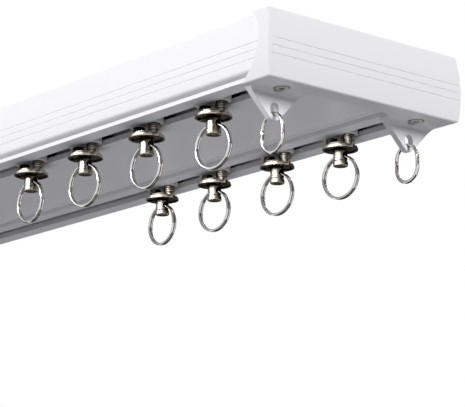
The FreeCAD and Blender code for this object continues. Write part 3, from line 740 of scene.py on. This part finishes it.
# %% Screw sizes
HEAD_RADIUS = 3.0
HEAD_HEIGHT = 1.4
HEAD_ROOT_RADIUS = 1.6
FACE_CENTRE = 0.3
FACE_RADIUS = 2.4
CROWN_MIDDLE = (2.82, 0.18)
CROWN_HEIGHT = 0.6
HEAD_OUTLINE = (
    (FACE_CENTRE, 0.0), (FACE_RADIUS, 0.0), CROWN_MIDDLE, (HEAD_RADIUS, CROWN_HEIGHT),
    (HEAD_RADIUS, HEAD_HEIGHT), (HEAD_ROOT_RADIUS, HEAD_HEIGHT),
)
HEAD_CORNER = 0.3
SHANK_START = 1.3
THREAD_PITCH = 0.7
THREAD_ROWS = 8
THREAD_DEPTH = 0.4
THREAD_RADIUS = 2.0
THREAD_SIDES = 32
WING_LENGTH = (3.4, 1.8)
WING_WIDTH = (0.8, 0.5)
WING_START = -0.1
WING_DEPTH = 0.7
RECESS_EDGE = 0.05
print("thread:", 2 * THREAD_RADIUS, "mm across, pitch", THREAD_PITCH, "mm")

# %% [markdown]
# ## The punch and the thread
#
# The punch is two crossed wedges that start just outside the head, so that the Boolean has no
# faces in common with it. The threaded shank is a grid of points round a pole.


# %% Punch and thread
def wing(turn):
    loops = []
    for level, length, width in zip((WING_START, WING_DEPTH), WING_LENGTH, WING_WIDTH):
        half_x, half_y = length / 2, width / 2
        corners = ((-half_x, -half_y), (half_x, -half_y), (half_x, half_y), (-half_x, half_y))
        loops.append([turn @ Vector((x, y, level)) for x, y in corners])
    return skinned("wing", loops)


def threaded_shank(start, end):
    loops = []
    rows = round((end - start) / THREAD_PITCH * THREAD_ROWS)
    for row in range(rows + 1):
        level = start + (end - start) * row / rows
        loop = []
        for side in range(THREAD_SIDES):
            share = side / THREAD_SIDES
            phase = (level / THREAD_PITCH + share) % 1
            radius = THREAD_RADIUS - THREAD_DEPTH * abs(2 * phase - 1)
            angle = 2 * math.pi * share
            loop.append(Vector((radius * math.cos(angle), radius * math.sin(angle), level)))
        loops.append(loop)
    return skinned("threaded_shank", loops)


# %% [markdown]
# ## Setting the screws
#
# Each end has one node with two screws in it, one at each side. So one object stands for it, with
# both screws in its mesh, and sits where the node's box is.


# %% Set the screws
def joined(name, meshes):
    build = bmesh.new()
    for mesh, matrix in meshes:
        copy = mesh.copy()
        copy.transform(matrix)
        build.from_mesh(copy)
        bpy.data.meshes.remove(copy)
    result = bpy.data.meshes.new(name)
    build.to_mesh(result)
    build.free()
    result.shade_smooth()
    result.set_sharp_from_angle(angle=SMOOTH_BELOW)
    return result


quarter_turn = Matrix.Rotation(math.pi / 2, 3, "Z")
blank_head = turned("screw_head", eased(HEAD_OUTLINE, HEAD_CORNER))
head = cut(blank_head, [wing(Matrix.Identity(3)), wing(quarter_turn)], RECESS_EDGE)
for end in ENDS:
    node = end + "_cap_screws"
    low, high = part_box(node)
    shank = threaded_shank(SHANK_START, (high.z - low.z) / MM)
    half_spread = (high.y - low.y) / 2 - HEAD_RADIUS * MM
    places = [Matrix.Translation((0, side * half_spread, 0)) for side in (-1, 1)]
    pair = joined("pan_head_screws", [(mesh, place) for place in places for mesh in (head, shank)])
    place_piece(node, "track", pair, Matrix.Translation(foot_of(node)))
print("faces in a pair of screws:", len(pair.polygons))

# %% [markdown]
# ## The foot of the side walls
#
# At its foot each side wall rolls under to meet the lip, in a quarter of an ellipse. It faces the
# floor at its lower end, so it draws a dark band along the whole rail. Only this rounding is added,
# as one long bar per side that lies half inside the wall. All numbers are millimetres from the
# middle of the rail's top.

# %% Roll the wall under
LIP_SIDE = 49.65
WALL_SIDE = 52.25
WALL_FOOT = -21.6
LIP_SHOULDER = -23.5
ROLL_STEPS = 14
INSIDE_WALL = 0.3


def roll_section(side):
    loop = []
    for step in range(ROLL_STEPS + 1):
        turn = math.pi / 2 * step / ROLL_STEPS
        y = LIP_SIDE + (WALL_SIDE - LIP_SIDE) * math.cos(turn)
        z = WALL_FOOT + (LIP_SHOULDER - WALL_FOOT) * math.sin(turn)
        loop.append((side * y, z))
    inner = LIP_SIDE - INSIDE_WALL
    outer = WALL_SIDE - INSIDE_WALL
    top = WALL_FOOT + INSIDE_WALL
    loop += [(side * inner, LIP_SHOULDER), (side * inner, top), (side * outer, top)]
    return loop


rail_low, rail_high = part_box("rail")
for row, side in zip(ROWS, (-1, 1)):
    loops = [[Vector((end / MM, y, z)) for y, z in roll_section(side)]
             for end in (rail_low.x, rail_high.x)]
    roll = bpy.data.objects.new(row + "_wall_roll", skinned(row + "_wall_roll", loops))
    roll.data.materials.append(FINISHES["white_enamel"])
    bpy.context.scene.collection.objects.link(roll)
    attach(roll, "track")
print("wall rolls:", len(ROWS), "each", len(roll.data.polygons), "faces")

# %% [markdown]
# ## Camera
#
# The view looks up at the near cap from less than a metre away. A long lens keeps the rail's
# edges almost parallel, as in a catalogue. Where the camera stands was worked out from the
# straight edges of the rail and the cap.

# %% Camera
CAMERA_PLACE = Vector((0.8803, -0.5687, -0.2618))
CAMERA_DIRECTION = Vector((-0.7395, 0.6327, 0.2298))
LENS_LENGTH = 162.5
SENSOR_WIDTH = 36.0
NEAREST_SEEN = 0.01
camera_data = bpy.data.cameras.new("camera")
camera_data.lens = LENS_LENGTH
camera_data.sensor_width = SENSOR_WIDTH
camera_data.clip_start = NEAREST_SEEN
camera = bpy.data.objects.new("camera", camera_data)
camera.location = CAMERA_PLACE
camera.rotation_euler = CAMERA_DIRECTION.to_track_quat("-Z", "Y").to_euler()
bpy.context.scene.collection.objects.link(camera)
bpy.context.scene.camera = camera
print("lens:", camera_data.lens, "mm")

# %% [markdown]
# ## A background that is white only to the eye
#
# The page behind the track is pure white, but a floor and sky that really shone that bright would
# wash the white rail out. Light Path tells the shader which kind of ray asks. Rays from the
# camera, and those mirrored or let through by a piece, meet plain white, and the rays that light
# the rail meet something dimmer.

# %% Which rays see the white page
ROOM_STRENGTH = 0.11
PAGE_STRENGTH = 1.0


def seen_directly(tree):
    rays = add(tree, "ShaderNodeLightPath")
    seen = add(tree, "ShaderNodeMath", {
        0: rays.outputs["Is Camera Ray"], 1: rays.outputs["Is Glossy Ray"]}, operation="MAXIMUM")
    seen = add(tree, "ShaderNodeMath", {
        0: seen.outputs["Value"], 1: rays.outputs["Is Transmission Ray"]}, operation="MAXIMUM")
    return seen.outputs["Value"]


def white_surroundings(strength):
    world = bpy.data.worlds.new("white_surroundings")
    world.use_nodes = True
    tree = world.node_tree
    tree.nodes.clear()
    white = linear("#FFFFFF")
    dim = add(tree, "ShaderNodeBackground", {"Color": white, "Strength": strength})
    page = add(tree, "ShaderNodeBackground", {"Color": white, "Strength": PAGE_STRENGTH})
    mix = add(tree, "ShaderNodeMixShader", {
        0: seen_directly(tree), 1: dim.outputs["Background"], 2: page.outputs["Background"]})
    add(tree, "ShaderNodeOutputWorld", {"Surface": mix.outputs["Shader"]})
    return world


bpy.context.scene.world = white_surroundings(ROOM_STRENGTH)
print("page:", PAGE_STRENGTH, "room:", ROOM_STRENGTH)

# %% [markdown]
# ## The floor
#
# The track hangs well above a plain pale floor, which sends some light back up to its underside.
# The floor uses the same trick as the page: to the eye it is nearly as white, with the shadows
# still on it, and to the rail it is as dim as a floor in soft light.

# %% Floor
PAGE_SHARE = 0.8
FLOOR_LEVEL = -2.4
FLOOR_REACH = 40.0


def level_square(reach, level):
    return [(x * reach, y * reach, level) for x, y in ((-1, -1), (1, -1), (1, 1), (-1, 1))]


def sheet(name, corners, material):
    mesh = bpy.data.meshes.new(name)
    mesh.from_pydata(corners, [], [(0, 1, 2, 3)])
    mesh.materials.append(material)
    item = bpy.data.objects.new(name, mesh)
    bpy.context.scene.collection.objects.link(item)
    item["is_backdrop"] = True
    return item


def painted(name, colour, roughness):
    material, tree, surface = new_material(name)
    feed(tree, surface, {"Base Color": linear(colour), "Roughness": roughness})
    return material


def floor_paint():
    material, tree, surface = new_material("pale_floor_paint")
    feed(tree, surface, {"Base Color": linear("#DEDEE2"), "Roughness": 0.7})
    page = add(tree, "ShaderNodeEmission", {"Color": linear("#FFFFFF"), "Strength": PAGE_STRENGTH})
    share = add(tree, "ShaderNodeMath", {0: seen_directly(tree), 1: PAGE_SHARE}, operation="MULTIPLY")
    mix = add(tree, "ShaderNodeMixShader", {
        0: share.outputs["Value"], 1: surface.outputs["BSDF"], 2: page.outputs["Emission"]})
    feed(tree, tree.nodes["Material Output"], {"Surface": mix.outputs["Shader"]})
    return material


sheet("floor", level_square(FLOOR_REACH, FLOOR_LEVEL), floor_paint())
print("floor level:", FLOOR_LEVEL, "m")

# %% [markdown]
# ## Lamps
#
# A long, low strip lamp stands off the long side, which makes it the brightest face. It hangs
# above the rail's level, so that nothing under the rail is lit by it. A squarer and weaker one
# stands off the end. A third one fills the back, which would be dull without it. Large lamps give
# soft edges to the shadows and long highlights on the metal. Places and sizes are metres, and
# powers are watts.


# %% Lamps
def soft_lamp(name, place, width, height, power):
    data = bpy.data.lights.new(name, "AREA")
    data.shape = "RECTANGLE"
    data.size = width
    data.size_y = height
    data.energy = power
    lamp = bpy.data.objects.new(name, data)
    lamp.location = place
    lamp.rotation_euler = (-Vector(place)).to_track_quat("-Z", "Y").to_euler()
    bpy.context.scene.collection.objects.link(lamp)
    return lamp


lamps = [
    soft_lamp("side_lamp", (-0.1, -2.5, 1.0), width=2.4, height=0.5, power=71.0),
    soft_lamp("end_lamp", (2.5, 0.3, 0.9), width=1.4, height=1.0, power=50.0),
    soft_lamp("back_lamp", (-1.2, 2.6, 1.3), width=2.0, height=1.0, power=50.0),
]
bpy.context.scene.view_settings.view_transform = "Standard"
print("lamps:", len(lamps))

# %% [markdown]
# ## A lamp for the back row's chrome
#
# Turned metal wants one bright upright streak on its lit side. The front row mirrors the long side
# of the room and has it. The back row hangs behind the rail, where that light doesn't reach. Light
# linking gives a lamp a list of the pieces that it lights, and one of the pieces that throw its
# shadow. Both lists hold the back row's carriages and swivels, so nothing else is changed.

# %% A lamp for the back row's chrome
back_row = bpy.data.collections.new("back_row_chrome")
for piece in bpy.data.objects:
    chromed = piece.type == "MESH" and FINISHES["chromed_zinc"] in list(piece.data.materials)
    if chromed and piece.name.startswith("back_"):
        back_row.objects.link(piece)
row_lamp = soft_lamp("row_lamp", (0.3, -2.3, 0.53), width=3.4, height=0.9, power=300.0)
row_lamp.light_linking.receiver_collection = back_row
row_lamp.light_linking.blocker_collection = back_row

# %% [markdown]
# ## Dark cards for the metal
#
# Chrome has no colour of its own: it shows the room. In an all-white room it would look like grey
# plastic. So a photographer stands black cards round the set, out of the frame, and their
# reflections draw the dark streaks that make metal look like metal. The cards here are seen by
# mirrored rays alone, so they take no light from the white pieces. Four stand round the track, each
# turned to its own side, and one lies below it.

# %% Dark cards
CARD_CLOTH = painted("black_card_cloth", "#101010", 0.9)
CARD_DISTANCE = 2.2
LOW_CARD_LEVEL = -1.25
LOW_CARD_REACH = 1.3


def mirrored_only(card):
    card.visible_camera = False
    card.visible_diffuse = False
    card.visible_shadow = False
    return card


def dark_card(name, azimuth, width, low, high):
    corners = [(CARD_DISTANCE, side * width / 2, level)
               for side, level in ((-1, low), (1, low), (1, high), (-1, high))]
    card = sheet(name, corners, CARD_CLOTH)
    card.rotation_euler.z = math.radians(azimuth)
    return mirrored_only(card)


low_corners = level_square(LOW_CARD_REACH, LOW_CARD_LEVEL)
cards = [
    dark_card("right_card", azimuth=68, width=3.4, low=-1.2, high=1.6),
    dark_card("left_card", azimuth=-178, width=2.6, low=-1.2, high=1.6),
    dark_card("camera_side_card", azimuth=-8, width=4.1, low=0.35, high=1.6),
    dark_card("far_card", azimuth=139, width=2.2, low=-1.2, high=1.8),
    mirrored_only(sheet("low_card", low_corners, CARD_CLOTH)),
]
print("dark cards:", len(cards))

# %% [markdown]
# ## The size, and the end
#
# Finer pieces must not make the track any bigger, so the box round what now shows is printed in
# millimetres.

# %% Print the visual box and finish
low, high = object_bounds()
print("visual box, mm:", [round(side / MM, 2) for side in high - low])
